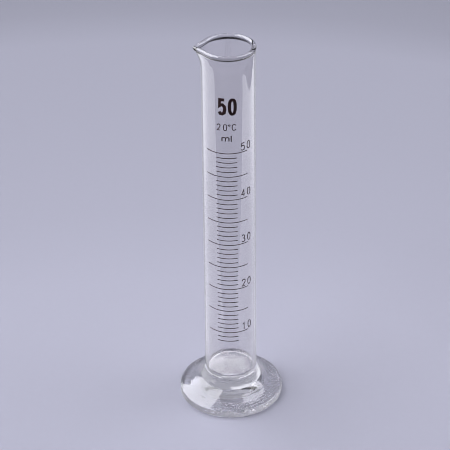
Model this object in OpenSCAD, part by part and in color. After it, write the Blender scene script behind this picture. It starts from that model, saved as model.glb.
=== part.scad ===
// 50 ml graduated measuring cylinder of clear glass.
// A drawn tube with a closed floor, a fire-polished rim and a pulled spout is fused
// onto a pressed glass foot, and the scale is fired onto the front as thin enamel.
// Millimetres. +Z is up, the origin is on the tube's axis at the surface it stands on.
// The scale faces -Y and the spout points to -X.

/* [Tube] */
// Bore of the tube, which sets the height of one millilitre
bore_d = 22.4; // [22.2:0.1:22.8]
// Wall thickness of the tube
wall = 1.3; // [1.2:0.05:1.6]
// Height of the top of the rim above the surface
overall_h = 193.8; // [190:0.1:200]
// Thickness of the tube's closed floor
floor_t = 1.5; // [1.3:0.1:2]
// Radius inside the bore where the floor meets the wall
floor_fillet = 1.4; // [0.8:0.1:2]
// Radius outside the tube where the floor meets the wall
heel_r = 1.2; // [1:0.1:1.4]

/* [Rim and spout] */
// Radius of the fire-polished bead around the mouth
bead_r = 1.1; // [0.9:0.05:1.2]
// How far the spout's tip stands out from the round tube
spout_out = 2.9; // [2:0.1:3.5]
// Height over which the round tube changes into the mouth
spout_h = 9.7; // [8:0.1:12]
// How far each side of the mouth is drawn in by pulling the spout
squeeze = 1.12; // [0.6:0.02:1.3]
// How far the spout's tip dips below the rest of the rim
spout_dip = 0.4; // [0:0.1:0.8]

/* [Foot] */
// Diameter of the foot
foot_d = 50; // [49:0.5:54]
// Height of the top of the foot's collar, where the tube is fused on
foot_h = 12.6; // [12.2:0.1:13]
// Height of the foot's upright edge, to the top of its round corner
edge_h = 3.75; // [3.4:0.05:4]
// Radius of the collar where it meets the sloping skirt
collar_r = 14.6; // [14.3:0.1:14.8]
// Height of the crease between the collar and the skirt
crease_h = 9.4; // [9:0.1:9.8]
// Depth of the hollow under the foot
kick_up = 1.3; // [0.8:0.1:1.6]
// Thickness of the melted glass between the foot and the tube
seal_t = 0.6; // [0.5:0.1:0.8]

/* [Scale] */
// First marked volume in millilitres
first_ml = 8; // [5:1:9]
// Height of the zero level above the floor, for the round corner and the film of liquid that stays behind
zero_h = 2.13; // [1:0.01:2.5]
// Width of a graduation line
line_t = 0.36; // [0.3:0.02:0.5]
// Direction of the middle of the scale, from the front towards the right
scale_az = -5.5; // [-8:0.5:0]
// Angle that a long line covers
long_deg = 95; // [90:1:100]
// Angle that a short line covers
short_deg = 46; // [40:1:48]
// Thickness of the fired enamel
ink = 0.08; // [0.06:0.01:0.12]

/* [Numbers] */
// Height of the numbers beside the scale
num_h = 4.2; // [3.8:0.1:4.6]
// Width of one digit beside the scale
num_w = 2.1; // [1.8:0.1:2.3]
// Width of the pen stroke of the numbers
num_pen = 0.42; // [0.34:0.02:0.5]
// Height of the bold capacity number
cap_h = 9; // [7:0.5:9.5]

/* [Hidden] */

$fn = 96;

r_i = bore_d / 2;
r_o = r_i + wall;
r_m = (r_i + r_o) / 2;
foot_r = foot_d / 2;
tube_z = foot_h + seal_t;            // underside of the tube
floor_z = tube_z + floor_t;          // floor of the bore
bead_z = overall_h - bead_r;         // centre of the bead
mouth_z = bead_z - spout_h;          // where the round tube starts to change
ml_h = 1000 / (PI * r_i * r_i);      // height of one millilitre
zero_z = floor_z + zero_h;
top_ml = 50;

function z_of(ml) = zero_z + ml * ml_h;

glass = [0.86, 0.90, 0.94, 0.45];
enamel = [0.24, 0.09, 0.10];

// ---------------------------------------------------------------- mouth

// Directions around the mouth, crowded together near the spout's tip.
// psi is 0 at the tip and 180 opposite it.
mouth_n = 96;
function psi(j) = let (s = 2 * (j % mouth_n) / mouth_n - 1) sign(s) * 180 * pow(abs(s), 1.5);

// Share of the spout's reach at psi: 1 at the tip, fading over about 25 degrees.
tip_soft = 3.2;
function reach(a) = exp(-pow((sqrt(a * a + tip_soft * tip_soft) - tip_soft) / 10, 1.3));

// Middle of the glass at the rim, as a radius from the axis.
function rim_r(a) = r_m - squeeze * pow(sin(a), 2) + spout_out * reach(a);

// The same at height share v, from 0 at the round tube to 1 at the rim.
function mid_r(a, v) = r_m + v * v * (rim_r(a) - r_m);
function mid_p(a, v) = let (r = mid_r(a, v)) [-r * cos(a), -r * sin(a)];
function outward(a, v) =
    let (d = mid_p(a + 0.2, v) - mid_p(a - 0.2, v)) [d[1], -d[0]] / norm(d);

function rim_z(a) = bead_z - spout_dip * reach(a);

// A point of the mouth: o outward from the middle of the glass, dz above its level v.
function mouth_p(a, v, o, dz) =
    let (p = mid_p(a, v) + o * outward(a, v))
    [p[0], p[1], mouth_z + v * (rim_z(a) - mouth_z) + dz];

// The section, up the outside, over the bead and down the inside: [v, outward, rise].
levels = 8;
neck = asin(0.62);
half_out = wall / 2 - 0.02;
half_in = wall / 2 - 0.06;
v_neck = 1 - bead_r * cos(neck) / spout_h;
section = concat(
    [[0, half_out, -0.5]],
    [for (k = [0:levels - 1]) [v_neck * k / levels, half_out, 0]],
    [for (k = [0:12]) let (a = -40 + 260 * k / 12) [1, bead_r * cos(a), bead_r * sin(a)]],
    [for (k = [levels - 1:-1:0]) [v_neck * k / levels, -half_in, 0]],
    [[0, -half_in, -0.5]]);
sect_n = len(section);

module mouth() {
    polyhedron(
        points = [for (s = section) for (j = [0:mouth_n - 1]) mouth_p(psi(j), s[0], s[1], s[2])],
        faces = [for (m = [0:sect_n - 1]) for (j = [0:mouth_n - 1])
            let (m2 = (m + 1) % sect_n, j2 = (j + 1) % mouth_n)
            each [[m * mouth_n + j, m2 * mouth_n + j, m2 * mouth_n + j2],
                  [m * mouth_n + j, m2 * mouth_n + j2, m * mouth_n + j2]]],
        convexity = 6);
}

// ---------------------------------------------------------------- tube

// Half section of a round solid with a rounded lower corner.
module rounded_base(r, h, c) {
    translate([0, c]) square([r, h - c]);
    square([r - c, h]);
    translate([r - c, c]) circle(r = c);
}

module tube_envelope(h) {
    translate([0, tube_z]) rounded_base(r_o, h - tube_z, heel_r);
}

module measuring_tube() {
    color(glass) {
        difference() {
            rotate_extrude() intersection() {
                tube_envelope(mouth_z);
                square([r_o + 1, mouth_z]);
            }
            rotate_extrude() intersection() {
                translate([0, floor_z]) rounded_base(r_i, mouth_z - floor_z + 1, floor_fillet);
                square([r_i + 1, mouth_z + 1]);
            }
        }
        mouth();
    }
}

// ---------------------------------------------------------------- foot

edge_r = 0.9;                        // upper corner of the foot's edge
sole_r = 0.5;                        // lower corner of the foot's edge
brow_r = r_o + 0.85;                 // radius of the collar's top
bear_w = 3;                          // width of the flat ring that it stands on
skirt_r = 16.5;                      // radius of the skirt's hollow curve

skirt_a = [foot_r - edge_r, edge_h];
skirt_b = [collar_r, crease_h];
skirt_m = (skirt_a + skirt_b) / 2;
skirt_c = norm(skirt_a - skirt_b) / 2;
skirt_u = [skirt_b[1] - skirt_a[1], skirt_a[0] - skirt_b[0]] / (2 * skirt_c);
skirt_o = skirt_m + skirt_u * sqrt(skirt_r * skirt_r - skirt_c * skirt_c);

// The hollow under the foot is a shallow dome that meets the bearing ring.
dome_w = foot_r - sole_r - bear_w;
dome_r = (dome_w * dome_w + kick_up * kick_up) / (2 * kick_up);

module foot_half() {
    difference() {
        union() {
            polygon([[0, 0], [foot_r - sole_r, 0], [foot_r - sole_r, sole_r], [foot_r, sole_r],
                [foot_r, edge_h - edge_r], [foot_r - edge_r, edge_h - edge_r], skirt_a, skirt_b,
                [brow_r, foot_h], [0, foot_h]]);
            translate([foot_r - sole_r, sole_r]) circle(r = sole_r);
            translate([foot_r - edge_r, edge_h - edge_r]) circle(r = edge_r);
        }
        translate(skirt_o) circle(r = skirt_r, $fn = 360);
        translate([0, kick_up - dome_r]) circle(r = dome_r, $fn = 1440);
        translate([-foot_r - 2, -1]) square([foot_r + 2, foot_h + 2]);
    }
}

module foot() {
    color(glass) rotate_extrude() foot_half();
}

// ---------------------------------------------------------------- seal

// The tube's heel and the collar's top are melted together. The melted glass is a disc
// between them that carries the collar's slope on, then swells into a small bead and
// fades into the wall of the tube.
seal_h = 2.5;                        // height of the melted glass around the heel
bead2_r = 0.5;                       // radius of the small bead
module fusion_seal() {
    bead2 = [r_o + 0.44 - bead2_r, foot_h + 1.35];
    color(glass) rotate_extrude() difference() {
        union() {
            polygon([[0, foot_h], [brow_r, foot_h], [bead2[0] + bead2_r, bead2[1]],
                [bead2[0] + bead2_r * cos(55), bead2[1] + bead2_r * sin(55)],
                [r_o, foot_h + seal_h], [r_o - 0.5, foot_h + seal_h], [0, foot_h + seal_h]]);
            translate(bead2) circle(r = bead2_r);
        }
        tube_envelope(foot_h + 20);
    }
}

// ---------------------------------------------------------------- graduations

module graduation(ml, span) {
    rotate([0, 0, -90 + scale_az - span / 2])
        rotate_extrude(angle = span)
            translate([r_o, z_of(ml) - line_t / 2]) square([ink, line_t]);
}

module major_graduations() {
    color(enamel) for (ml = [10:5:top_ml]) graduation(ml, long_deg);
}

module minor_graduations() {
    color(enamel) for (ml = [first_ml:top_ml - 1]) if (ml % 5 != 0 || ml < 10)
        graduation(ml, short_deg);
}

// ---------------------------------------------------------------- figures

// One pen stroke: the outline of a line of width w along the points p.
function unit2(v) = v / norm(v);
function left_of(v) = [-v[1], v[0]];
function pen_side(p, w, i) =
    let (n = len(p),
         a = unit2(p[max(i, 1)] - p[max(i, 1) - 1]),
         b = unit2(p[min(i + 1, n - 1)] - p[min(i + 1, n - 1) - 1]),
         m = unit2(left_of(a) + left_of(b)))
    m * (w / 2) / max(0.5, m * left_of(a));
module pen(p, w) {
    n = len(p);
    polygon(concat([for (i = [0:n - 1]) p[i] + pen_side(p, w, i)],
        [for (i = [n - 1:-1:0]) p[i] - pen_side(p, w, i)]));
}

// Points of a figure, given as shares of its width and height, inside a w by h box.
function fit_box(p, w, h, s) = [for (q = p) [s / 2 + q[0] * (w - s), s / 2 + q[1] * (h - s)]];
module trace(p, w, h, s) { pen(fit_box(p, w, h, s), s); }

function sgn_pow(x, e) = sign(x) * pow(abs(x), e);
function oval(w, h, n = 28) = [for (i = [0:n - 1]) let (a = 360 * (i + 0.5) / n)
    [w / 2 * sgn_pow(cos(a), 0.8), h / 2 * sgn_pow(sin(a), 0.8)]];

module fig_0(w, h, s) {
    translate([w / 2, h / 2]) difference() {
        polygon(oval(w, h));
        polygon(oval(w - 2 * s, h - 2 * s));
    }
}
module fig_1(w, h, s) { trace([[0.1, 0.74], [0.55, 1], [0.55, 0]], w, h, s); }
module fig_2(w, h, s) {
    trace([[0.02, 0.76], [0.1, 0.91], [0.3, 1], [0.68, 1], [0.92, 0.9], [0.99, 0.73],
        [0.9, 0.56], [0.02, 0], [1, 0]], w, h, s);
}
module fig_3(w, h, s) {
    trace([[0.03, 0.86], [0.2, 0.98], [0.45, 1], [0.78, 0.96], [0.94, 0.78], [0.8, 0.6],
        [0.42, 0.54]], w, h, s);
    trace([[0.42, 0.54], [0.84, 0.47], [1, 0.27], [0.85, 0.06], [0.5, 0], [0.2, 0.02],
        [0, 0.15]], w, h, s);
}
module fig_4(w, h, s) {
    trace([[0.74, 0], [0.74, 1]], w, h, s);
    trace([[0.72, 1], [0, 0.3], [1, 0.3]], w, h, s);
}
module fig_5(w, h, s) {
    trace([[0.94, 1], [0.14, 1], [0.07, 0.56], [0.32, 0.64], [0.62, 0.65], [0.9, 0.54],
        [1, 0.33], [0.88, 0.08], [0.52, 0], [0.2, 0.02], [0, 0.15]], w, h, s);
}
module fig_c(w, h, s) {
    trace([[1, 0.8], [0.84, 0.95], [0.55, 1], [0.22, 0.94], [0.04, 0.74], [0, 0.5],
        [0.04, 0.26], [0.22, 0.06], [0.55, 0], [0.84, 0.05], [1, 0.2]], w, h, s);
}
module fig_m(w, h, s) {
    trace([[0, 0], [0, 1]], w, h, s);
    trace([[0, 0.74], [0.1, 0.94], [0.3, 1], [0.45, 0.92], [0.5, 0.74], [0.5, 0]], w, h, s);
    trace([[0.5, 0.74], [0.6, 0.94], [0.8, 1], [0.95, 0.92], [1, 0.74], [1, 0]], w, h, s);
}
module fig_l(h, s) { translate([-s / 2, 0]) square([s, h]); }
module fig_degree(d, s) {
    difference() {
        circle(d = d, $fn = 24);
        circle(d = d - 2 * s, $fn = 24);
    }
}

module digit(n, w, h, s) {
    if (n == 0) fig_0(w, h, s);
    if (n == 1) fig_1(w, h, s);
    if (n == 2) fig_2(w, h, s);
    if (n == 3) fig_3(w, h, s);
    if (n == 4) fig_4(w, h, s);
    if (n == 5) fig_5(w, h, s);
}

// Wraps a flat figure of width w onto the tube, its middle at direction az and its
// foot at height z, as enamel of even thickness.
module fired_on(az, z, w) {
    rotate([0, 0, az]) intersection() {
        translate([-w / 2, -r_o + 1, z]) rotate([90, 0, 0]) linear_extrude(height = 2) children();
        difference() {
            translate([0, 0, z - 1]) cylinder(r = r_o + ink, h = 12);
            translate([0, 0, z - 2]) cylinder(r = r_o, h = 14);
            translate([-r_o - 1, 0, z - 2]) cube([2 * r_o + 2, r_o + 1, 14]);
        }
    }
}

// Two digits beside the right-hand end of a long line, just above it.
num_az = 31;
num_step = 14.9;
num_lift = 0.75;
module scale_number(ml) {
    z = z_of(ml) + num_lift;
    color(enamel) {
        fired_on(num_az, z, num_w) digit(floor(ml / 10), num_w, num_h, num_pen);
        fired_on(num_az + num_step, z, num_w) digit(ml % 10, num_w, num_h, num_pen);
    }
}

module numeral_10() { scale_number(10); }
module numeral_20() { scale_number(20); }
module numeral_30() { scale_number(30); }
module numeral_40() { scale_number(40); }
module numeral_50() { scale_number(50); }

// The capacity in bold figures above the scale.
cap_w = cap_h * 0.46;
cap_pen = cap_h * 0.17;
cap_lift = 20.4;
module capacity_mark() {
    z = z_of(top_ml) + cap_lift;
    a = 22 * cap_h / 9;
    color(enamel) {
        fired_on(-3 - a / 2, z, cap_w) digit(5, cap_w, cap_h, cap_pen);
        fired_on(-3 + a / 2, z, cap_w) digit(0, cap_w, cap_h, cap_pen);
    }
}

// The calibration temperature.
module temperature_mark() {
    z = z_of(top_ml) + 12.3;
    color(enamel) {
        fired_on(-21.5, z, 1.8) fig_2(1.8, 3.5, 0.4);
        fired_on(-7.5, z, 1.9) fig_0(1.9, 3.5, 0.4);
        fired_on(1.2, z, 1.1) translate([0.55, 2.9]) fig_degree(1.1, 0.34);
        fired_on(11, z, 2.1) fig_c(2.1, 3.5, 0.4);
    }
}

// The unit of the scale.
module unit_mark() {
    z = z_of(top_ml) + 6.5;
    color(enamel) {
        fired_on(-7, z, 3.7) fig_m(3.7, 2.5, 0.48);
        fired_on(5, z, 0.5) translate([0.25, 0]) fig_l(3.1, 0.5);
    }
}

measuring_tube();
foot();
fusion_seal();
major_graduations();
minor_graduations();
numeral_10();
numeral_20();
numeral_30();
numeral_40();
numeral_50();
capacity_mark();
temperature_mark();
unit_mark();
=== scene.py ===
import math

import bpy
import numpy as np
from mathutils import Matrix, Quaternion, Vector


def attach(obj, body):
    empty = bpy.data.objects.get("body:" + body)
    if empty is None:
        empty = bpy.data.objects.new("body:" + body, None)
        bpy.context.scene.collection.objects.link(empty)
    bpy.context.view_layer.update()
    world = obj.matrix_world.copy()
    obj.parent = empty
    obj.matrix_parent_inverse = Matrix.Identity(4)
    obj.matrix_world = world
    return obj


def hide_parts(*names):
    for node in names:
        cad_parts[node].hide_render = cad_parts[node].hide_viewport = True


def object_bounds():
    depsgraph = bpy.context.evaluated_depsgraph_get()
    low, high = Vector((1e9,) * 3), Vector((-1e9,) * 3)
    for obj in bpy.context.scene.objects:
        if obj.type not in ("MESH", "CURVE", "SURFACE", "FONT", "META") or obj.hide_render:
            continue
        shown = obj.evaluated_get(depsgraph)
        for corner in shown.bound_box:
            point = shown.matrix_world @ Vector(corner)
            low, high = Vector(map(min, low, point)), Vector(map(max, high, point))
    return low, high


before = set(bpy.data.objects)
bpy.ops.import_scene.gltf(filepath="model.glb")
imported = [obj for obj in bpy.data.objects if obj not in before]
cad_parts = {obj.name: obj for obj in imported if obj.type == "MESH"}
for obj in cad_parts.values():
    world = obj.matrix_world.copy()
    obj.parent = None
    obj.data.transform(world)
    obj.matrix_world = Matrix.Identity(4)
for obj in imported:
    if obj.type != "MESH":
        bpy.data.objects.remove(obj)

cad_lo, cad_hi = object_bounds()
MM = 0.001

# ------------------------------------------------------------------ sizes, in millimetres
# The same construction as the CAD: bore, wall, mouth, seal and foot.

R_I, WALL = 11.2, 1.3
R_O = R_I + WALL
R_M = (R_I + R_O) / 2
BEAD_R = 1.1
RIM_TOP = cad_hi.z / MM
BEAD_Z = RIM_TOP - BEAD_R
SPOUT_H, SPOUT_OUT, SQUEEZE, SPOUT_DIP = 9.7, 2.9, 1.12, 0.4
MOUTH_Z = BEAD_Z - SPOUT_H
FOOT_H, SEAL_T, FLOOR_T, FLOOR_FILLET, HEEL_R = 12.6, 0.6, 1.5, 1.4, 1.2
TUBE_Z = FOOT_H + SEAL_T
FLOOR_Z = TUBE_Z + FLOOR_T
SEAL_TOP = FOOT_H + 2.5
FOOT_R = cad_hi.x / MM
EDGE_H, EDGE_R, SOLE_R, COLLAR_R, CREASE_H, BROW_R = 3.75, 0.9, 0.5, 14.6, 9.4, R_O + 0.85
SKIRT_R, BEAR_W, KICK = 16.5, 3.0, 1.3


# ------------------------------------------------------------------ noise that gives the same result each run

def lattice(seed, n):
    return np.random.RandomState(seed).rand(n)


def noise3(x, y, z, seed):
    """Smooth value noise in 0..1 with a cell of 1 in each direction."""
    t = lattice(seed, 65536)
    xi, yi, zi = np.floor(x).astype(int), np.floor(y).astype(int), np.floor(z).astype(int)
    fx, fy, fz = x - xi, y - yi, z - zi
    fx, fy, fz = (f * f * f * (f * (f * 6 - 15) + 10) for f in (fx, fy, fz))

    def h(a, b, c):
        return t[(a * 73856093 ^ b * 19349663 ^ c * 83492791) & 65535]

    out = 0
    for dx in (0, 1):
        for dy in (0, 1):
            for dz in (0, 1):
                w = (fx if dx else 1 - fx) * (fy if dy else 1 - fy) * (fz if dz else 1 - fz)
                out = out + w * h(xi + dx, yi + dy, zi + dz)
    return out


def fractal(x, y, z, seed, octaves=3):
    out, amp, total = 0, 1.0, 0
    for i in range(octaves):
        out = out + amp * noise3(x * 2 ** i + 17.3 * i, y * 2 ** i + 5.1 * i, z * 2 ** i, seed + i)
        total += amp
        amp *= 0.5
    return out / total


# ------------------------------------------------------------------ mesh helpers

def closed_of_rings(name, rings, zones):
    """A closed mesh from rings of points, each (n, 3) in mm, or a single pole point at either end.
    zones[k] is the material slot of the faces between ring k and ring k + 1."""
    verts, faces, mats, start = [], [], [], []
    for r in rings:
        start.append(sum(len(v) for v in verts))
        verts.append(np.atleast_2d(r))
    n = max(len(v) for v in verts)
    for k in range(len(rings) - 1):
        a, b = len(verts[k]), len(verts[k + 1])
        sa, sb = start[k], start[k + 1]
        for j in range(n):
            j2 = (j + 1) % n
            if a == 1:
                faces.append((sa, sb + j2, sb + j))
            elif b == 1:
                faces.append((sa + j, sa + j2, sb))
            else:
                faces.append((sa + j, sa + j2, sb + j2, sb + j))
            mats.append(zones[k])
    co = np.concatenate(verts) * MM
    me = bpy.data.meshes.new(name)
    me.from_pydata(co.tolist(), [], faces)
    me.polygons.foreach_set("material_index", np.array(mats, np.int32))
    me.polygons.foreach_set("use_smooth", np.ones(len(faces), bool))
    # where the zone changes, the surface turns a real corner
    sharp = np.zeros(len(me.edges), bool)
    edge_of = {tuple(sorted(e.vertices)): e.index for e in me.edges}
    for k in range(1, len(rings) - 1):
        if zones[k - 1] != zones[k] and len(verts[k]) > 1:
            for j in range(n):
                e = edge_of.get(tuple(sorted((start[k] + j, start[k] + (j + 1) % n))))
                if e is not None:
                    sharp[e] = True
    attr = me.attributes.new("sharp_edge", "BOOLEAN", "EDGE")
    attr.data.foreach_set("value", sharp)
    me.update()
    ob = bpy.data.objects.new(name, me)
    bpy.context.scene.collection.objects.link(ob)
    return ob


def arc(cx, cz, r, a0, a1, n):
    """n points of an arc, from a0 to a1 degrees, without its first point."""
    a = np.radians(np.linspace(a0, a1, n + 1)[1:])
    return [(cx + r * math.cos(t), cz + r * math.sin(t)) for t in a]


def straight(p, q, n):
    """n points from p to q, without p."""
    return [(p[0] + (q[0] - p[0]) * i / n, p[1] + (q[1] - p[1]) * i / n) for i in range(1, n + 1)]


# ------------------------------------------------------------------ measuring tube

N_TUBE = 320
# directions around the tube, crowded near the spout: psi is 0 at the spout's tip (-X)
s = np.linspace(-1, 1, N_TUBE, endpoint=False)
PSI = np.sign(s) * 180 * np.abs(s) ** 1.5
TH = np.radians(PSI)


def reach(a):
    return np.exp(-((np.sqrt(a * a + 3.2 ** 2) - 3.2) / 10) ** 1.3)


def rim_r(a):
    return R_M - SQUEEZE * np.sin(np.radians(a)) ** 2 + SPOUT_OUT * reach(a)


def mid_p(a, v):
    r = R_M + v * v * (rim_r(a) - R_M)
    return np.stack([-r * np.cos(np.radians(a)), -r * np.sin(np.radians(a))], 1)


def outward(a, v):
    d = mid_p(a + 0.2, v) - mid_p(a - 0.2, v)
    n = np.stack([d[:, 1], -d[:, 0]], 1)
    return n / np.linalg.norm(n, axis=1)[:, None]


def mouth_ring(v, o, dz):
    p = mid_p(PSI, v) + o * outward(PSI, v)
    z = MOUTH_Z + v * (BEAD_Z - SPOUT_DIP * reach(PSI) - MOUTH_Z) + dz
    return np.column_stack([p, z])


def tube_ring(r, z, wave=0.0):
    """A ring of the tube at radius r. wave draws the wall in by up to that much, as in drawn glass."""
    rr = np.full(N_TUBE, float(r))
    if wave:
        w = fractal(2 + np.cos(TH) * 1.3, 2 + np.sin(TH) * 1.3, np.full(N_TUBE, z / 55.0), 11, 2)
        rr = rr - wave * w
    return np.column_stack([-rr * np.cos(TH), -rr * np.sin(TH), np.full(N_TUBE, float(z))])


GLASS, JOINED, UNDER = 0, 1, 2


def build_tube():
    rings, zones = [np.array([[0, 0, TUBE_Z]])], []

    def add(ring, zone):
        rings.append(ring)
        zones.append(zone)

    for r in (3.0, 6.5, 9.2, R_O - HEEL_R):
        add(tube_ring(r, TUBE_Z), JOINED)
    for r, z in arc(R_O - HEEL_R, TUBE_Z + HEEL_R, HEEL_R, -90, 0, 8):
        add(tube_ring(r, z), JOINED)
    for r, z in straight((R_O, TUBE_Z + HEEL_R), (R_O, SEAL_TOP), 2):
        add(tube_ring(r, z), JOINED)
    # outside of the barrel
    zs = list(np.linspace(SEAL_TOP, MOUTH_Z, 61)[1:])
    for z in zs:
        fade = min(1.0, (z - SEAL_TOP) / 12) * min(1.0, (MOUTH_Z - z) / 12)
        add(tube_ring(R_O, z, 0.012 * fade), GLASS)
    # mouth, outside
    lv = 22
    v_end = 1 - 2.2 / SPOUT_H
    for k in range(1, lv + 1):
        add(mouth_ring(v_end * k / lv, WALL / 2, 0), GLASS)
    # the neck swells smoothly into the bead
    a0 = math.radians(-38)
    p0, p1 = np.array([WALL / 2, -2.2]), np.array([BEAD_R * math.cos(a0), BEAD_R * math.sin(a0)])
    t0, t1 = np.array([0, 1.8]), np.array([-math.sin(a0), math.cos(a0)]) * 1.8

    def swell(u):
        return ((2 * u ** 3 - 3 * u ** 2 + 1) * p0 + (u ** 3 - 2 * u ** 2 + u) * t0
                + (-2 * u ** 3 + 3 * u ** 2) * p1 + (u ** 3 - u ** 2) * t1)

    def swollen(u, side):
        o, dz = swell(u)
        v = 1 + dz / SPOUT_H
        return mouth_ring(v, side * o, 0)

    for k in range(1, 9):
        add(swollen(k / 8, 1), GLASS)
    for k in range(1, 31):
        a = math.radians(-38 + (180 + 76) * k / 30)
        v = 1 + min(0.0, BEAD_R * math.sin(a)) / SPOUT_H
        add(mouth_ring(v, BEAD_R * math.cos(a), max(0.0, BEAD_R * math.sin(a))), GLASS)
    for k in range(7, -1, -1):
        add(swollen(k / 8, -1), GLASS)
    for k in range(lv - 1, -1, -1):
        add(mouth_ring(v_end * k / lv, -WALL / 2, 0), GLASS)
    # inside of the barrel
    for z in np.linspace(MOUTH_Z, FLOOR_Z + FLOOR_FILLET, 61)[1:]:
        fade = min(1.0, (z - FLOOR_Z - FLOOR_FILLET) / 12) * min(1.0, (MOUTH_Z - z) / 12)
        add(tube_ring(R_I, z, 0.012 * fade), GLASS)
    for r, z in arc(R_I - FLOOR_FILLET, FLOOR_Z + FLOOR_FILLET, FLOOR_FILLET, 0, -90, 12):
        add(tube_ring(r, z), GLASS)
    for r in (9.0, 7.5, 5.5, 3.0, 1.2):
        add(tube_ring(r, FLOOR_Z), GLASS)
    rings.append(np.array([[0, 0, FLOOR_Z]]))
    zones.append(GLASS)
    return closed_of_rings("tube_glass", rings, zones)


# ------------------------------------------------------------------ melted joint

N_FOOT = 720
TF = np.linspace(0, 2 * np.pi, N_FOOT, endpoint=False)


def foot_ring(r, z):
    r = np.broadcast_to(np.asarray(r, float), (N_FOOT,))
    z = np.broadcast_to(np.asarray(z, float), (N_FOOT,))
    return np.column_stack([r * np.cos(TF), r * np.sin(TF), z])


def build_seal():
    rings, zones = [np.array([[0, 0, FOOT_H]])], []

    def add(ring, zone):
        rings.append(ring)
        zones.append(zone)

    for r in (4.0, 8.0, 11.0, BROW_R):
        add(foot_ring(r, FOOT_H), JOINED)
    # outside: the collar's slope, a small soft bead, and a fade into the tube
    uneven = fractal(3 + np.cos(TF) * 1.1, 3 + np.sin(TF) * 1.1, np.zeros(N_FOOT), 41, 2) - 0.5
    bead = [R_O + 0.44 - 0.5, FOOT_H + 1.35]
    prof = straight((BROW_R, FOOT_H), (R_O + 0.47, FOOT_H + 1.0), 10)
    prof += arc(bead[0], bead[1], 0.5, -18, 62, 12)
    p0, p1 = np.array(prof[-1]), np.array([R_O, SEAL_TOP])
    t0, t1 = np.array([-0.75, 0.4]), np.array([-0.05, 1.1])
    for k in range(1, 21):
        u = k / 20
        q = ((2 * u ** 3 - 3 * u ** 2 + 1) * p0 + (u ** 3 - 2 * u ** 2 + u) * t0
             + (-2 * u ** 3 + 3 * u ** 2) * p1 + (u ** 3 - u ** 2) * t1)
        prof.append((q[0], q[1]))
    for r, z in prof:
        away = math.sin(math.pi * min(1, max(0, (z - FOOT_H) / (SEAL_TOP - FOOT_H))))
        ripple = 0.07 * away * (0.5 + 0.5 * np.sin(2 * math.pi * z / 1.05 + 5 * uneven))
        add(foot_ring(r + ripple - 0.10 * away * (0.5 + uneven), z + 0.22 * away * uneven), GLASS)
    rings[-1] = foot_ring(R_O, SEAL_TOP)
    # inside: around the heel of the tube, on the tube's own surface
    for r, z in straight((R_O, SEAL_TOP), (R_O, TUBE_Z + HEEL_R), 2):
        add(foot_ring(r, z), JOINED)
    for r, z in arc(R_O - HEEL_R, TUBE_Z + HEEL_R, HEEL_R, 0, -90, 8):
        add(foot_ring(r, z), JOINED)
    for r in (9.2, 6.5, 3.0):
        add(foot_ring(r, TUBE_Z), JOINED)
    rings.append(np.array([[0, 0, TUBE_Z]]))
    zones.append(JOINED)
    return closed_of_rings("seal_glass", rings, zones)


# ------------------------------------------------------------------ foot

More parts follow.
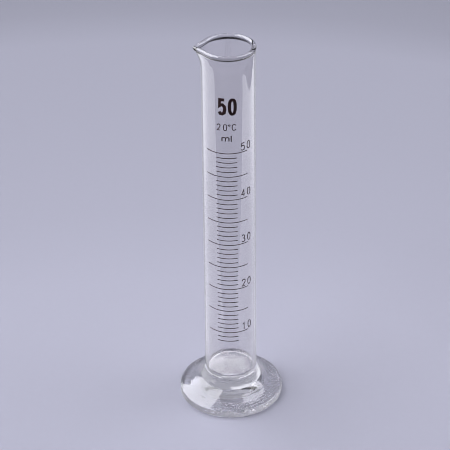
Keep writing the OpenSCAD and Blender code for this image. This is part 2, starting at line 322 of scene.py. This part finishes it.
def build_foot():
    ax, az = FOOT_R - EDGE_R, EDGE_H
    bx, bz = COLLAR_R, CREASE_H
    half = math.hypot(ax - bx, az - bz) / 2
    ux, uz = (bz - az) / (2 * half), (ax - bx) / (2 * half)
    k = math.sqrt(SKIRT_R ** 2 - half ** 2)
    ox, oz = (ax + bx) / 2 + ux * k, (az + bz) / 2 + uz * k
    a_b = math.degrees(math.atan2(bz - oz, bx - ox))
    a_a = math.degrees(math.atan2(az - oz, ax - ox))

    # the outer side from the collar's top to the sole, as (r, z, what)
    prof = [(BROW_R, FOOT_H, 0.0)]
    n = 18
    for i in range(1, n + 1):
        u = i / n
        prof.append((BROW_R + (COLLAR_R - BROW_R) * u ** 1.15, FOOT_H + (CREASE_H - FOOT_H) * u, 0.25))
    n = 170
    for i in range(1, n + 1):
        t = math.radians(a_b + (a_a - a_b) * i / n)
        prof.append((ox + SKIRT_R * math.cos(t), oz + SKIRT_R * math.sin(t), 1.0))
    for r, z in arc(FOOT_R - EDGE_R, EDGE_H - EDGE_R, EDGE_R, 90, 0, 14):
        prof.append((r, z, 0.4))
    for r, z in straight((FOOT_R, EDGE_H - EDGE_R), (FOOT_R, SOLE_R), 12):
        prof.append((r, z, 0.4))
    for r, z in arc(FOOT_R - SOLE_R, SOLE_R, SOLE_R, 0, -90, 8):
        prof.append((r, z, 0.3))

    rings, zones = [np.array([[0, 0, FOOT_H]])], []
    for r in (4.0, 8.0, 11.0, BROW_R):
        rings.append(foot_ring(r, FOOT_H))
        zones.append(JOINED)

    path = 0.0
    last = prof[0]
    cx, sx = np.cos(TF), np.sin(TF)
    for r, z, turned in prof[1:]:
        path += math.hypot(r - last[0], z - last[1])
        last = (r, z)
        # turning marks: rings with a slightly uneven depth around the foot
        wob = fractal(2 + cx * 1.6, 2 + sx * 1.6, np.full(N_FOOT, path * 0.35), 71, 2)
        mark = noise3(np.full(N_FOOT, path * 1.55) + wob * 1.4, 5 + cx * 0.8, 5 + sx * 0.8, 73)
        fine = noise3(np.full(N_FOOT, path * 4.1) + wob * 2.0, 9 + cx * 2.2, 9 + sx * 2.2, 75)
        low = fractal(4 + cx * 1.2, 4 + sx * 1.2, np.full(N_FOOT, path * 0.12), 77, 2)
        cut = noise3(np.full(N_FOOT, path * 2.6) + wob * 2.6, 3 + cx * 1.4, 3 + sx * 1.4, 79)
        cut = np.clip(cut - 0.58, 0, 1) * 0.20
        dip = turned * (0.042 * mark + 0.012 * fine + cut) + 0.05 * (turned > 0.2) * low
        rings.append(foot_ring(r - dip * 0.45, np.maximum(z - dip * 0.9, 0.0)))
        zones.append(GLASS)

    # underside: the flat bearing ring, then the pebbled hollow
    dome_w = FOOT_R - SOLE_R - BEAR_W
    dome_r = (dome_w ** 2 + KICK ** 2) / (2 * KICK)
    rs = list(np.linspace(FOOT_R - SOLE_R, 11.0, 76)[1:]) + list(np.linspace(11.0, 1.0, 30)[1:])
    for r in rs:
        z = 0.0 if r >= dome_w else math.sqrt(dome_r ** 2 - r ** 2) - (dome_r - KICK)
        x, y = r * cx, r * sx
        peb = noise3(x * 1.15 + 70, y * 1.15 + 70, np.zeros(N_FOOT), 91)
        peb2 = noise3(x * 2.3 + 110, y * 2.3 + 110, np.zeros(N_FOOT), 92)
        grow = min(1.0, max(0.0, (r - 15.5) / 5.0)) * min(1.0, (FOOT_R - SOLE_R - r) / 0.5 + 0.05)
        hill = np.clip(peb - 0.42, 0, 1) * 0.50 + np.clip(peb2 - 0.42, 0, 1) * 0.30
        soft = 0.02 * fractal(x * 0.2 + 20, y * 0.2 + 20, np.zeros(N_FOOT), 95, 2)
        rings.append(foot_ring(r, z + grow * hill + (soft if r < dome_w else 0)))
        zones.append(UNDER)
    rings.append(np.array([[0, 0, KICK]]))
    zones.append(UNDER)
    return closed_of_rings("foot_glass", rings, zones)


def fix_normals(ob):
    import bmesh
    bm = bmesh.new()
    bm.from_mesh(ob.data)
    bmesh.ops.recalc_face_normals(bm, faces=bm.faces)
    bm.to_mesh(ob.data)
    bm.free()


tube = build_tube()
seal = build_seal()
foot = build_foot()
for ob in (tube, seal, foot):
    fix_normals(ob)

# ------------------------------------------------------------------ materials


def new_material(name):
    m = bpy.data.materials.new(name)
    m.use_nodes = True
    m.node_tree.nodes.clear()
    return m, m.node_tree.nodes, m.node_tree.links


def glass_material(name, tint_a, tint_b, rough, bump_mm, scale, ior=1.474, smooth=0.0,
                   spread=(0.3, 0.7), clear_within=0.0, painted_shade_above=0.0):
    """Clear glass: faint streaks of tint and roughness, a very slight bump, and optionally a painted dark shade on
    downward-facing sides above a given height.
    """
    m, n, l = new_material(name)
    out = n.new("ShaderNodeOutputMaterial")
    p = n.new("ShaderNodeBsdfPrincipled")
    p.inputs["Transmission Weight"].default_value = 1.0
    p.inputs["IOR"].default_value = ior
    co = n.new("ShaderNodeTexCoord")
    mp = n.new("ShaderNodeMapping")
    mp.inputs["Scale"].default_value = scale
    l.new(co.outputs["Object"], mp.inputs["Vector"])
    no = n.new("ShaderNodeTexNoise")
    no.inputs["Scale"].default_value = 1.0
    no.inputs["Detail"].default_value = 3.0
    l.new(mp.outputs["Vector"], no.inputs["Vector"])
    cr = n.new("ShaderNodeValToRGB")
    cr.color_ramp.elements[0].position, cr.color_ramp.elements[1].position = spread
    cr.color_ramp.elements[0].color = (*tint_a, 1)
    cr.color_ramp.elements[1].color = (*tint_b, 1)
    l.new(no.outputs["Fac"], cr.inputs["Fac"])
    if clear_within:
        # the dark tone fades out towards the middle
        ln = n.new("ShaderNodeVectorMath")
        ln.operation = "LENGTH"
        l.new(co.outputs["Object"], ln.inputs[0])
        fade = n.new("ShaderNodeMapRange")
        fade.inputs["From Min"].default_value, fade.inputs["From Max"].default_value = clear_within, clear_within + 0.004
        l.new(ln.outputs["Value"], fade.inputs["Value"])
        mx = n.new("ShaderNodeMix")
        mx.data_type = "RGBA"
        mx.inputs["A"].default_value = (*tint_b, 1)
        l.new(fade.outputs["Result"], mx.inputs["Factor"])
        l.new(cr.outputs["Color"], mx.inputs["B"])
        l.new(mx.outputs["Result"], p.inputs["Base Color"])
    else:
        l.new(cr.outputs["Color"], p.inputs["Base Color"])
    if painted_shade_above:
        # painted shade: a near-black tint on the rounded edge's downward-facing side, above that height, where clear
        # glass shows a dark line only by refraction
        def part(value, lo, hi):
            k = n.new("ShaderNodeMapRange")
            k.interpolation_type = "SMOOTHSTEP"
            k.inputs["From Min"].default_value, k.inputs["From Max"].default_value = lo, hi
            l.new(value, k.inputs["Value"])
            return k.outputs["Result"]

        geo = n.new("ShaderNodeNewGeometry")
        down, high = n.new("ShaderNodeSeparateXYZ"), n.new("ShaderNodeSeparateXYZ")
        l.new(geo.outputs["Normal"], down.inputs["Vector"])
        l.new(co.outputs["Object"], high.inputs["Vector"])
        flip = n.new("ShaderNodeMath")
        flip.operation = "MULTIPLY"
        flip.inputs[1].default_value = -1.0
        l.new(down.outputs["Z"], flip.inputs[0])
        both = n.new("ShaderNodeMath")
        both.operation = "MULTIPLY"
        l.new(part(flip.outputs[0], 0.06, 0.22), both.inputs[0])
        l.new(part(high.outputs["Z"], painted_shade_above, painted_shade_above + 0.0004), both.inputs[1])
        ed = n.new("ShaderNodeMix")
        ed.data_type = "RGBA"
        l.new(both.outputs[0], ed.inputs["Factor"])
        l.new(cr.outputs["Color"], ed.inputs["A"])
        ed.inputs["B"].default_value = (0.004, 0.003, 0.004, 1)
        l.new(ed.outputs["Result"], p.inputs["Base Color"])
    mr = n.new("ShaderNodeMapRange")
    mr.inputs["From Min"].default_value, mr.inputs["From Max"].default_value = 0.45, 0.8
    mr.inputs["To Min"].default_value, mr.inputs["To Max"].default_value = smooth, rough
    l.new(no.outputs["Fac"], mr.inputs["Value"])
    l.new(mr.outputs["Result"], p.inputs["Roughness"])
    bp = n.new("ShaderNodeBump")
    bp.inputs["Strength"].default_value = 1.0
    bp.inputs["Distance"].default_value = bump_mm * MM
    l.new(no.outputs["Fac"], bp.inputs["Height"])
    l.new(bp.outputs["Normal"], p.inputs["Normal"])
    l.new(p.outputs["BSDF"], out.inputs["Surface"])
    return m


def joined_material():
    """Where two pieces of glass are melted together there is no surface: light goes straight on."""
    m, n, l = new_material("melted_together")
    out = n.new("ShaderNodeOutputMaterial")
    t = n.new("ShaderNodeBsdfTransparent")
    l.new(t.outputs["BSDF"], out.inputs["Surface"])
    return m


def enamel_material():
    """Thin dark red-brown fired print: mottled, half gloss, thinner in places."""
    m, n, l = new_material("fired_enamel")
    out = n.new("ShaderNodeOutputMaterial")
    p = n.new("ShaderNodeBsdfPrincipled")
    co = n.new("ShaderNodeTexCoord")
    no = n.new("ShaderNodeTexNoise")
    no.inputs["Scale"].default_value = 900.0
    no.inputs["Detail"].default_value = 4.0
    l.new(co.outputs["Object"], no.inputs["Vector"])
    cr = n.new("ShaderNodeValToRGB")
    e = cr.color_ramp.elements
    e[0].position, e[1].position = 0.32, 0.72
    e[0].color = (0.009, 0.0022, 0.003, 1)
    e[1].color = (0.030, 0.008, 0.010, 1)
    l.new(no.outputs["Fac"], cr.inputs["Fac"])
    l.new(cr.outputs["Color"], p.inputs["Base Color"])
    p.inputs["Specular IOR Level"].default_value = 0.28
    mr = n.new("ShaderNodeMapRange")
    mr.inputs["To Min"].default_value, mr.inputs["To Max"].default_value = 0.32, 0.62
    l.new(no.outputs["Fac"], mr.inputs["Value"])
    l.new(mr.outputs["Result"], p.inputs["Roughness"])
    bp = n.new("ShaderNodeBump")
    bp.inputs["Strength"].default_value = 0.6
    bp.inputs["Distance"].default_value = 0.01 * MM
    l.new(no.outputs["Fac"], bp.inputs["Height"])
    l.new(bp.outputs["Normal"], p.inputs["Normal"])
    l.new(p.outputs["BSDF"], out.inputs["Surface"])
    return m


# the rim bead gets a painted dark shade on its underside, above 190.6 mm
tube_mat = glass_material("tube_glass", (0.92, 0.91, 0.91), (0.945, 0.935, 0.935), 0.012, 0.004, (70, 70, 9),
                          painted_shade_above=0.1906)
foot_mat = glass_material("foot_glass", (0.975, 0.97, 0.98), (1.0, 0.99, 1.0), 0.02, 0.004, (160, 160, 160))
under_mat = glass_material("foot_underside", (0.66, 0.655, 0.67), (1.0, 0.995, 1.0), 0.14, 0.0015, (900, 900, 900),
                           smooth=0.05, spread=(0.42, 0.54), clear_within=0.0182)
joined = joined_material()
ink = enamel_material()

for ob, mat in ((tube, tube_mat), (seal, foot_mat), (foot, foot_mat)):
    ob.data.materials.append(mat)
    ob.data.materials.append(joined)
    if ob is foot:
        ob.data.materials.append(under_mat)
    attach(ob, "root")
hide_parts("measuring_tube")
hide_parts("fusion_seal")
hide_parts("foot")

MARKS = ["major_graduations", "minor_graduations", "numeral_10", "numeral_20", "numeral_30",
         "numeral_40", "numeral_50", "capacity_mark", "temperature_mark", "unit_mark"]
for name in MARKS:
    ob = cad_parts[name]
    for sl in ob.material_slots:
        sl.material = ink

# ------------------------------------------------------------------ floor


def floor_material():
    m, n, l = new_material("pale_floor")
    out = n.new("ShaderNodeOutputMaterial")
    p = n.new("ShaderNodeBsdfPrincipled")
    p.inputs["Roughness"].default_value = 0.8
    p.inputs["Specular IOR Level"].default_value = 0.0
    co = n.new("ShaderNodeTexCoord")
    no = n.new("ShaderNodeTexNoise")
    no.inputs["Scale"].default_value = 400.0
    no.inputs["Detail"].default_value = 4.0
    l.new(co.outputs["Object"], no.inputs["Vector"])
    cr = n.new("ShaderNodeValToRGB")
    e = cr.color_ramp.elements
    e[0].color = (0.165, 0.1650, 0.196, 1)
    e[1].color = (0.170, 0.1700, 0.202, 1)
    l.new(no.outputs["Fac"], cr.inputs["Fac"])
    # painted light falloff: the sheet's colour is painted brightest at the front left and darker far away from the
    # object, in place of light that falls off there
    off = n.new("ShaderNodeVectorMath")
    off.operation = "ADD"
    off.inputs[1].default_value = (0.05, 0.15, 0.0)
    l.new(co.outputs["Object"], off.inputs[0])
    ln = n.new("ShaderNodeVectorMath")
    ln.operation = "LENGTH"
    l.new(off.outputs["Vector"], ln.inputs[0])
    far = n.new("ShaderNodeMath")
    far.operation = "MULTIPLY"
    far.inputs[1].default_value = 0.5
    l.new(ln.outputs["Value"], far.inputs[0])
    painted_light_falloff = n.new("ShaderNodeValToRGB")
    painted_light_falloff.color_ramp.interpolation = "LINEAR"
    f = painted_light_falloff.color_ramp.elements
    stops = [(0.16, 0.98), (0.24, 0.975), (0.31, 0.90), (0.42, 0.85), (0.50, 0.825), (0.54, 0.70),
             (0.62, 0.60), (0.74, 0.57), (1.4, 0.56)]
    f[0].position, f[1].position = stops[0][0] / 2, stops[-1][0] / 2
    f[0].color, f[1].color = (stops[0][1],) * 3 + (1,), (stops[-1][1],) * 3 + (1,)
    for r, v in stops[1:-1]:
        f.new(r / 2).color = (v, v, v, 1)
    l.new(far.outputs["Value"], painted_light_falloff.inputs["Fac"])
    mx = n.new("ShaderNodeMix")
    mx.data_type = "RGBA"
    mx.blend_type = "MULTIPLY"
    mx.inputs["Factor"].default_value = 1.0
    l.new(cr.outputs["Color"], mx.inputs["A"])
    l.new(painted_light_falloff.outputs["Color"], mx.inputs["B"])
    l.new(mx.outputs["Result"], p.inputs["Base Color"])
    l.new(p.outputs["BSDF"], out.inputs["Surface"])
    return m


me = bpy.data.meshes.new("floor")
n_f, R_F = 96, 6.0
vs = [(0, 0, 0)] + [(R_F * math.cos(2 * math.pi * i / n_f), R_F * math.sin(2 * math.pi * i / n_f), 0) for i in range(n_f)]
me.from_pydata([(x, y, -0.00003) for x, y, z in vs], [], [(0, 1 + i, 1 + (i + 1) % n_f) for i in range(n_f)])
floor = bpy.data.objects.new("floor", me)
bpy.context.scene.collection.objects.link(floor)
me.materials.append(floor_material())

# ------------------------------------------------------------------ world
# A studio drawn by direction: x to the right, y away from the camera, z up. Two wide soft panels
# hang overhead, a strong one on the left and a weaker one on the right, with a dark gap between.
# A point of a panel is at (x / z, y / z), as on a ceiling at height 1.

world = bpy.data.worlds.new("studio")
bpy.context.scene.world = world
world.use_nodes = True
wn, wl = world.node_tree.nodes, world.node_tree.links
wn.clear()


def w_math(op, a, b=None, clamp=False):
    n = wn.new("ShaderNodeMath")
    n.operation = op
    n.use_clamp = clamp
    for i, v in enumerate((a, b)):
        if v is None:
            continue
        if isinstance(v, (int, float)):
            n.inputs[i].default_value = v
        else:
            wl.new(v, n.inputs[i])
    return n.outputs[0]


def w_ramp(x, lo, hi, out_lo=0.0, out_hi=1.0):
    n = wn.new("ShaderNodeMapRange")
    n.interpolation_type = "SMOOTHSTEP"
    wl.new(x, n.inputs["Value"])
    for k, v in zip(("From Min", "From Max", "To Min", "To Max"), (lo, hi, out_lo, out_hi)):
        n.inputs[k].default_value = v
    return n.outputs["Result"]


tc = wn.new("ShaderNodeTexCoord")
sep = wn.new("ShaderNodeSeparateXYZ")
wl.new(tc.outputs["Generated"], sep.inputs["Vector"])
X, Y, Z = sep.outputs
zc = w_math("MAXIMUM", Z, 0.02)
U, V = w_math("DIVIDE", X, zc), w_math("DIVIDE", Y, zc)


def below(x, limit, soft):
    """1 where x is under the limit, 0 over it, with an edge of that softness."""
    return w_ramp(w_math("SUBTRACT", x, limit), -soft, soft, 1.0, 0.0)


def all_of(*masks):
    m = masks[0]
    for k in masks[1:]:
        m = w_math("MULTIPLY", m, k)
    return m


low = w_ramp(Z, 0.08, 0.16)
# the key runs along the whole left side and hangs over to the middle at the back
key_back = w_math("MAXIMUM", w_math("MULTIPLY", U, -1.32), 1.3365)
key = all_of(low, below(V, key_back, 0.0012),
             below(w_math("SUBTRACT", U, w_math("MULTIPLY", V, 0.27)), -0.331, 0.012),
             below(w_math("MULTIPLY", V, -1.0), 0.9, 0.02),
             below(w_math("MULTIPLY", U, -1.0), 6.0, 0.5))
# the fill hangs on the right, its back edge running away to the right
fill = all_of(low, below(w_math("SUBTRACT", V, w_math("MULTIPLY", U, 0.5)), 0.12, 0.04),
              below(V, 0.96, 0.03),
              below(w_math("MULTIPLY", w_math("ADD", U, w_math("MULTIPLY", V, 0.478)), -1.0), -0.245, 0.02),
              below(w_math("MULTIPLY", V, -1.0), 0.3, 0.10),
              below(U, 3.2, 0.3))
KEY, FILL = 8.5, 5.2
key_side = w_math("SUBTRACT", U, w_math("MULTIPLY", V, 0.27))
key_soft = all_of(low, below(V, key_back, 0.0012), below(key_side, -0.331, 0.22),
                  below(w_math("MULTIPLY", V, -1.0), 0.9, 0.02),
                  below(w_math("MULTIPLY", U, -1.0), 6.0, 0.5))
# seen straight through the glass the panels are only a little brighter than the room,
# while the floor, the ink and mirror reflections get their full light
lp = wn.new("ShaderNodeLightPath")
direct = w_math("SUBTRACT", 1.0, lp.outputs["Diffuse Depth"], clamp=True)
through = w_math("MULTIPLY", lp.outputs["Is Transmission Ray"], direct)
# a mirror reflection that leaves through the tube's wall counts as a mirror reflection
walls = w_math("GREATER_THAN", lp.outputs["Transmission Depth"], 3.5)
once = w_math("COMPARE", lp.outputs["Glossy Depth"], 1.0)
mirrored = w_math("MULTIPLY", walls, once)
through = w_math("MULTIPLY", through, w_math("SUBTRACT", 1.0, mirrored))
inside = w_math("MINIMUM", lp.outputs["Glossy Depth"], 1.0)
# the wall spreads the key's edge in what the tube's floor mirrors
seen_through_wall = w_math("MULTIPLY", w_math("MULTIPLY", mirrored, lp.outputs["Is Transmission Ray"]), direct)
key = w_math("ADD", w_math("MULTIPLY", key, w_math("SUBTRACT", 1.0, seen_through_wall)),
             w_math("MULTIPLY", key_soft, seen_through_wall))


def level(full, clear, turned):
    """Full strength, but dimmer straight through the glass, and in between after a turn inside it."""
    dim = w_math("ADD", w_math("MULTIPLY", inside, turned - clear), clear)
    return w_math("ADD", w_math("MULTIPLY", through, w_math("SUBTRACT", dim, full)), full)


key = w_math("MULTIPLY", key, level(KEY, 0.16, 0.5))
fill = w_math("MULTIPLY", fill, level(FILL, 0.10, 0.3))

base = wn.new("ShaderNodeValToRGB")
base.color_ramp.interpolation = "EASE"
be = base.color_ramp.elements
be[0].position, be[0].color = 0.046, (0.292, 0.289, 0.356, 1)
be[1].position, be[1].color = 0.26, (0.370, 0.374, 0.435, 1)
for at in (0.066, 0.13):
    be.new(at).color = (0.035, 0.036, 0.044, 1)
wl.new(Z, base.inputs["Fac"])
# the camera's side of the room is dark at middle heights
dot = wn.new("ShaderNodeVectorMath")
dot.operation = "DOT_PRODUCT"
dot.inputs[1].default_value = (0.0, -0.77, 0.64)
wl.new(tc.outputs["Generated"], dot.inputs[0])
dark = w_ramp(dot.outputs["Value"], 0.55, 0.80, 1.0, 0.10)


def w_scale(vec, k):
    n = wn.new("ShaderNodeVectorMath")
    n.operation = "SCALE"
    if isinstance(vec, tuple):
        n.inputs[0].default_value = vec
    else:
        wl.new(vec, n.inputs[0])
    wl.new(k, n.inputs["Scale"]) if not isinstance(k, (int, float)) else setattr(n.inputs["Scale"], "default_value", k)
    return n.outputs["Vector"]


def w_add(a, b):
    n = wn.new("ShaderNodeVectorMath")
    n.operation = "ADD"
    wl.new(a, n.inputs[0])
    wl.new(b, n.inputs[1])
    return n.outputs["Vector"]


total = w_add(w_scale(base.outputs["Color"], dark), w_add(w_scale((0.975, 0.98, 1.03), key),
                                                          w_scale((0.98, 0.985, 1.03), fill)))
bg = wn.new("ShaderNodeBackground")
w_out = wn.new("ShaderNodeOutputWorld")
wl.new(total, bg.inputs["Color"])
wl.new(bg.outputs["Background"], w_out.inputs["Surface"])
world.cycles.sampling_method = "MANUAL"
world.cycles.sample_map_resolution = 1024

# ------------------------------------------------------------------ sheen
# What the upright glass mirrors, painted on a thin glowing disc on the floor that only mirror reflections see: a
# painted reflection of the sheet's sheen on the left and right, and painted darkness for the room beyond its front and
# right edges.


def sheen_material():
    m, n, l = new_material("sheet_sheen")
    out = n.new("ShaderNodeOutputMaterial")
    em = n.new("ShaderNodeEmission")
    co = n.new("ShaderNodeTexCoord")
    sp = n.new("ShaderNodeSeparateXYZ")
    l.new(co.outputs["Object"], sp.inputs["Vector"])
    x, y = sp.outputs[0], sp.outputs[1]

    def op(kind, a, b=None):
        k = n.new("ShaderNodeMath")
        k.operation = kind
        for i, v in enumerate((a, b)):
            if isinstance(v, (int, float)):
                k.inputs[i].default_value = v
            elif v is not None:
                l.new(v, k.inputs[i])
        return k.outputs[0]

    def ramp(v, lo, hi, a, b):
        k = n.new("ShaderNodeMapRange")
        k.interpolation_type = "SMOOTHSTEP"
        l.new(v, k.inputs["Value"])
        for nm, w in zip(("From Min", "From Max", "To Min", "To Max"), (lo, hi, a, b)):
            k.inputs[nm].default_value = w
        return k.outputs["Result"]

    edge = op("MINIMUM", op("SUBTRACT", op("MULTIPLY", x, 0.384), 0.0604),
              op("SUBTRACT", op("MULTIPLY", x, -0.25), 0.085))
    front = ramp(op("SUBTRACT", y, edge), -0.005, 0.005, 0.0, 1.0)
    right = ramp(op("ADD", x, op("MULTIPLY", y, 0.16)), 0.305, 0.313, 1.0, 0.0)
    on = op("MULTIPLY", front, right)
    side = op("DIVIDE", y, op("MAXIMUM", op("ABSOLUTE", x), 0.001))
    behind = ramp(side, 0.6, 1.4, 1.0, 0.0)
    dist = op("SQRT", op("ADD", op("MULTIPLY", x, x), op("MULTIPLY", y, y)))
    # painted sheen: a glow that grows brighter further out on the left and right
    left_sheen = op("MULTIPLY", ramp(x, -0.05, -0.02, 1.0, 0.0), ramp(dist, 0.10, 0.31, 1.15, 2.6))
    right_sheen = op("MULTIPLY", ramp(x, 0.02, 0.05, 0.0, 1.0), ramp(dist, 0.10, 0.31, 0.60, 2.3))
    sheen = op("MULTIPLY", behind, op("ADD", left_sheen, right_sheen))
    # painted reflection of the lit sheet, fading towards the front into painted darkness
    plain = op("MULTIPLY", right, ramp(y, -0.23, -0.08, 0.0, 0.47))
    total = op("ADD", op("ADD", op("MULTIPLY", on, sheen), plain), 0.03)
    em.inputs["Color"].default_value = (0.96, 0.965, 1.0, 1)
    l.new(total, em.inputs["Strength"])
    l.new(em.outputs["Emission"], out.inputs["Surface"])
    return m


me = bpy.data.meshes.new("sheen")
R_S = 0.45
vs = [(0, 0, 0)] + [(R_S * math.cos(2 * math.pi * i / n_f), R_S * math.sin(2 * math.pi * i / n_f), 0) for i in range(n_f)]
me.from_pydata([(x, y, 0.0) for x, y, z in vs], [], [(0, 1 + i, 1 + (i + 1) % n_f) for i in range(n_f)])
sheen = bpy.data.objects.new("sheen", me)
bpy.context.scene.collection.objects.link(sheen)
sheen.location.z = -0.00001
me.materials.append(sheen_material())
for kind in ("camera", "diffuse", "transmission", "shadow", "volume_scatter"):
    setattr(sheen, "visible_" + kind, False)

# ------------------------------------------------------------------ camera

D, ELEV, F_PX, TX, TZ, ROLL = 1146.852, math.radians(33.642), 2420.871, -2.174, 96.243, math.radians(-0.632)
C = Vector((TX, -D * math.cos(ELEV), TZ + D * math.sin(ELEV)))
fwd = (Vector((TX, 0, TZ)) - C).normalized()
right = fwd.cross(Vector((0, 0, 1))).normalized()
up = right.cross(fwd)
r2 = math.cos(ROLL) * right + math.sin(ROLL) * up
u2 = -math.sin(ROLL) * right + math.cos(ROLL) * up
cam_data = bpy.data.cameras.new("camera")
cam_data.sensor_width = 36.0
cam_data.lens = 36.0 * F_PX / 450.0
cam_data.clip_start, cam_data.clip_end = 0.05, 20.0
cam = bpy.data.objects.new("camera", cam_data)
bpy.context.scene.collection.objects.link(cam)
m = Matrix((r2, u2, -fwd)).transposed().to_4x4()
m.translation = C * MM
cam.matrix_world = m
bpy.context.scene.camera = cam

sc = bpy.context.scene
sc.view_settings.view_transform = "Standard"
sc.view_settings.look = "None"
sc.cycles.max_bounces = 96
sc.cycles.transmission_bounces = 64
sc.cycles.glossy_bounces = 64
sc.cycles.diffuse_bounces = 4
sc.cycles.transparent_max_bounces = 48
sc.cycles.sample_clamp_indirect = 6.0
sc.cycles.blur_glossy = 0.2
sc.cycles.filter_width = 1.0
sc.cycles.use_denoising = True
sc.cycles.seed = 3
